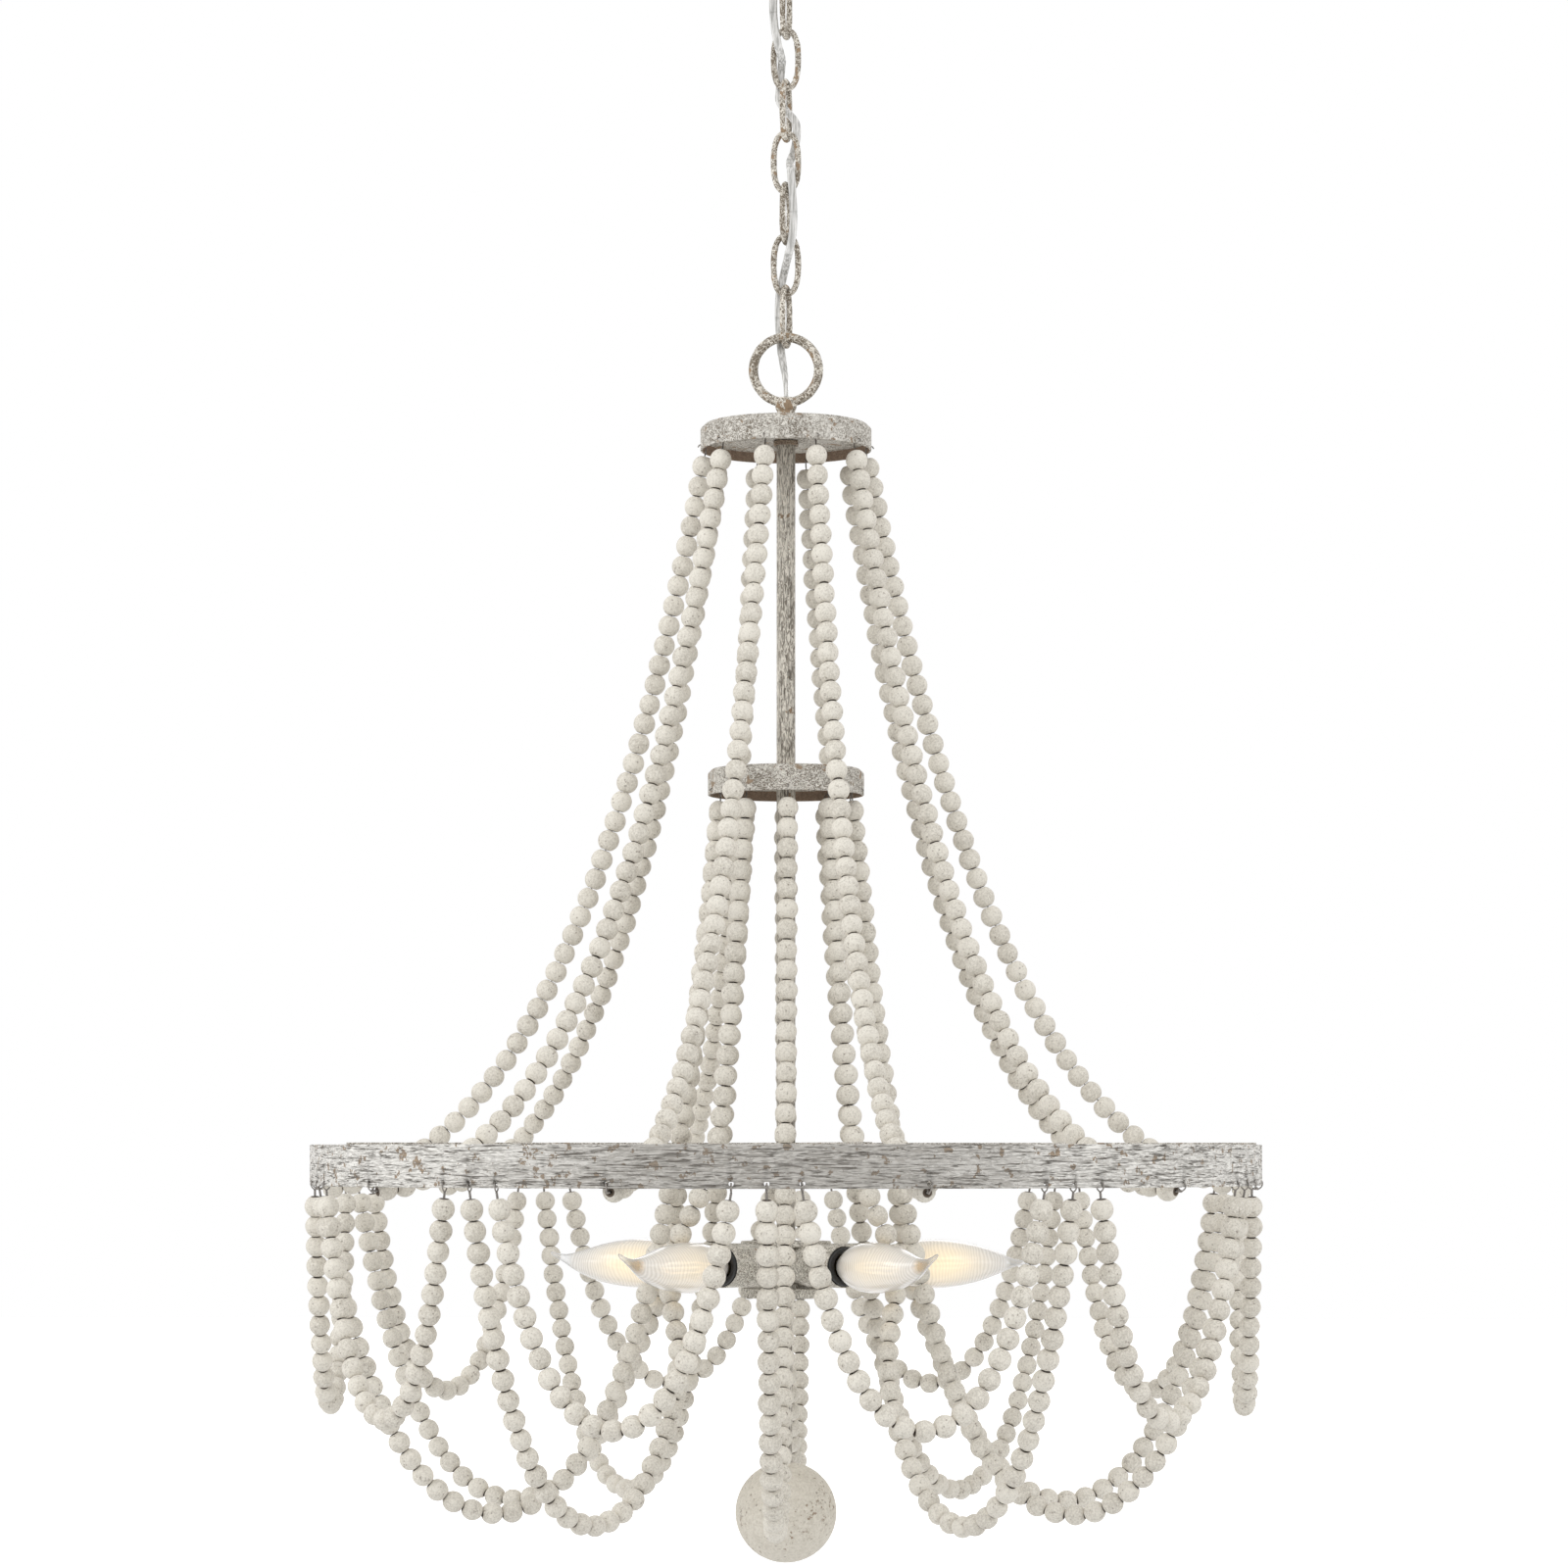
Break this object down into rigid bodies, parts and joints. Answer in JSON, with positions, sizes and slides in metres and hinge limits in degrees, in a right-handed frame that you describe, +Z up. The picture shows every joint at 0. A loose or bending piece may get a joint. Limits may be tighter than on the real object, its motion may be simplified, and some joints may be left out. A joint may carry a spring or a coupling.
{
  "type": "beaded chandelier",
  "caption": "Ring chandelier hung on a chain, draped with strings of round wooden beads that fall from two caps to a band, with candle bulbs round a central hub and a ball below.",
  "frame": {"origin": "middle of the canopy's flat top, which lies against the ceiling", "axes": "+Z up, -Y towards the front of the picture, +X to its right"},
  "size_m": [0.6134, 0.618, 1.0968],
  "materials": {
    "whitewashed_metal": "distressed whitewash over brown, matt",
    "plain_steel": "plain zinc-plated steel",
    "bead_wood": "whitewashed turned wood, matt, finely pitted",
    "ball_wood": "whitewashed turned wood with brown chips",
    "cord_jacket": "clear jacket over silver wires",
    "socket_black": "black lamp holder",
    "bulb_glass": "clear glass, lit warm white"
  },
  "bodies": {
    "canopy": {"canopy": "whitewashed_metal", "crossbar": "plain_steel", "canopy_loop": "whitewashed_metal", "supply_cord": "cord_jacket"},
    "link_1": {"chain_link_1": "whitewashed_metal"},
    "link_2": {"chain_link_2": "whitewashed_metal"},
    "link_3": {"chain_link_3": "whitewashed_metal"},
    "link_4": {"chain_link_4": "whitewashed_metal"},
    "link_5": {"chain_link_5": "whitewashed_metal"},
    "link_6": {"chain_link_6": "whitewashed_metal"},
    "link_7": {"chain_link_7": "whitewashed_metal"},
    "frame": {"top_loop": "whitewashed_metal", "top_cap": "whitewashed_metal", "mid_cap": "whitewashed_metal", "cap_nut": "plain_steel", "stem": "whitewashed_metal", "spider": "whitewashed_metal", "ring_band": "whitewashed_metal", "hub": "whitewashed_metal", "socket_1": "socket_black", "socket_2": "socket_black", "socket_3": "socket_black", "socket_4": "socket_black", "socket_5": "socket_black", "ball_finial": "ball_wood", "upper_strand_1": "bead_wood", "upper_strand_2": "bead_wood", "upper_strand_3": "bead_wood", "upper_strand_4": "bead_wood", "upper_strand_5": "bead_wood", "upper_strand_6": "bead_wood", "upper_strand_7": "bead_wood", "upper_strand_8": "bead_wood", "upper_strand_9": "bead_wood", "upper_strand_10": "bead_wood", "inner_strand_1": "bead_wood", "inner_strand_2": "bead_wood", "inner_strand_3": "bead_wood", "inner_strand_4": "bead_wood", "inner_strand_5": "bead_wood", "inner_strand_6": "bead_wood", "inner_strand_7": "bead_wood", "inner_strand_8": "bead_wood", "inner_strand_9": "bead_wood", "inner_strand_10": "bead_wood"},
    "swag_1": {"swag_1": "bead_wood"},
    "swag_2": {"swag_2": "bead_wood"},
    "swag_3": {"swag_3": "bead_wood"},
    "swag_4": {"swag_4": "bead_wood"},
    "swag_5": {"swag_5": "bead_wood"},
    "swag_6": {"swag_6": "bead_wood"},
    "swag_7": {"swag_7": "bead_wood"},
    "swag_8": {"swag_8": "bead_wood"},
    "swag_9": {"swag_9": "bead_wood"},
    "swag_10": {"swag_10": "bead_wood"},
    "bulb_1": {"bulb_1": "bulb_glass"},
    "bulb_2": {"bulb_2": "bulb_glass"},
    "bulb_3": {"bulb_3": "bulb_glass"},
    "bulb_4": {"bulb_4": "bulb_glass"},
    "bulb_5": {"bulb_5": "bulb_glass"}
  },
  "joints": [
    {"name": "chain_joint_1", "type": "hinge", "parent": "canopy", "child": "link_1", "pos_m": [0, 0, -0.0826], "axis": [1, 0, 0], "range_deg": [-15, 15], "deforming": ["supply_cord"]},
    {"name": "chain_joint_2", "type": "hinge", "parent": "link_1", "child": "link_2", "pos_m": [0, 0, -0.1146], "axis": [0.2419, 0.9703, 0], "range_deg": [-15, 15], "deforming": ["supply_cord"]},
    {"name": "chain_joint_3", "type": "hinge", "parent": "link_2", "child": "link_3", "pos_m": [0, 0, -0.1477], "axis": [1, 0, 0], "range_deg": [-15, 15], "deforming": ["supply_cord"]},
    {"name": "chain_joint_4", "type": "hinge", "parent": "link_3", "child": "link_4", "pos_m": [0, 0, -0.1808], "axis": [0.2419, 0.9703, 0], "range_deg": [-15, 15], "deforming": ["supply_cord"]},
    {"name": "chain_joint_5", "type": "hinge", "parent": "link_4", "child": "link_5", "pos_m": [0, 0, -0.2139], "axis": [1, 0, 0], "range_deg": [-15, 15], "deforming": ["supply_cord"]},
    {"name": "chain_joint_6", "type": "hinge", "parent": "link_5", "child": "link_6", "pos_m": [0, 0, -0.247], "axis": [0.2419, 0.9703, 0], "range_deg": [-15, 15], "deforming": ["supply_cord"]},
    {"name": "chain_joint_7", "type": "hinge", "parent": "link_6", "child": "link_7", "pos_m": [0, 0, -0.2801], "axis": [1, 0, 0], "range_deg": [-15, 15], "deforming": ["supply_cord"]},
    {"name": "chain_joint_8", "type": "hinge", "parent": "link_7", "child": "frame", "pos_m": [0, 0, -0.3132], "axis": [0.2419, 0.9703, 0], "range_deg": [-15, 15], "deforming": ["supply_cord"]},
    {"name": "swag_swing_1", "type": "hinge", "parent": "frame", "child": "swag_1", "pos_m": [0.09096, -0.27995, -0.85116], "axis": [0.9511, 0.309, 0], "range_deg": [-8, 8]},
    {"name": "swag_swing_2", "type": "hinge", "parent": "frame", "child": "swag_2", "pos_m": [0.23814, -0.17302, -0.85116], "axis": [0.5878, 0.809, 0], "range_deg": [-8, 8]},
    {"name": "swag_swing_3", "type": "hinge", "parent": "frame", "child": "swag_3", "pos_m": [0.29436, 0, -0.85116], "axis": [0, 1, 0], "range_deg": [-8, 8]},
    {"name": "swag_swing_4", "type": "hinge", "parent": "frame", "child": "swag_4", "pos_m": [0.23814, 0.17302, -0.85116], "axis": [-0.5878, 0.809, 0], "range_deg": [-8, 8]},
    {"name": "swag_swing_5", "type": "hinge", "parent": "frame", "child": "swag_5", "pos_m": [0.09096, 0.27995, -0.85116], "axis": [-0.9511, 0.309, 0], "range_deg": [-8, 8]},
    {"name": "swag_swing_6", "type": "hinge", "parent": "frame", "child": "swag_6", "pos_m": [-0.09096, 0.27995, -0.85116], "axis": [-0.9511, -0.309, 0], "range_deg": [-8, 8]},
    {"name": "swag_swing_7", "type": "hinge", "parent": "frame", "child": "swag_7", "pos_m": [-0.23814, 0.17302, -0.85116], "axis": [-0.5878, -0.809, 0], "range_deg": [-8, 8]},
    {"name": "swag_swing_8", "type": "hinge", "parent": "frame", "child": "swag_8", "pos_m": [-0.29436, 0, -0.85116], "axis": [0, -1, 0], "range_deg": [-8, 8]},
    {"name": "swag_swing_9", "type": "hinge", "parent": "frame", "child": "swag_9", "pos_m": [-0.23814, -0.17302, -0.85116], "axis": [0.5878, -0.809, 0], "range_deg": [-8, 8]},
    {"name": "swag_swing_10", "type": "hinge", "parent": "frame", "child": "swag_10", "pos_m": [-0.09096, -0.27995, -0.85116], "axis": [0.9511, -0.309, 0], "range_deg": [-8, 8]},
    {"name": "bulb_1_unscrew", "type": "slide", "parent": "frame", "child": "bulb_1", "axis": [0.5878, -0.809, 0], "range_m": [0, 0.024]},
    {"name": "bulb_2_unscrew", "type": "slide", "parent": "frame", "child": "bulb_2", "axis": [0.9511, 0.309, 0], "range_m": [0, 0.024]},
    {"name": "bulb_3_unscrew", "type": "slide", "parent": "frame", "child": "bulb_3", "axis": [0, 1, 0], "range_m": [0, 0.024]},
    {"name": "bulb_4_unscrew", "type": "slide", "parent": "frame", "child": "bulb_4", "axis": [-0.9511, 0.309, 0], "range_m": [0, 0.024]},
    {"name": "bulb_5_unscrew", "type": "slide", "parent": "frame", "child": "bulb_5", "axis": [-0.5878, -0.809, 0], "range_m": [0, 0.024]}
  ]
}
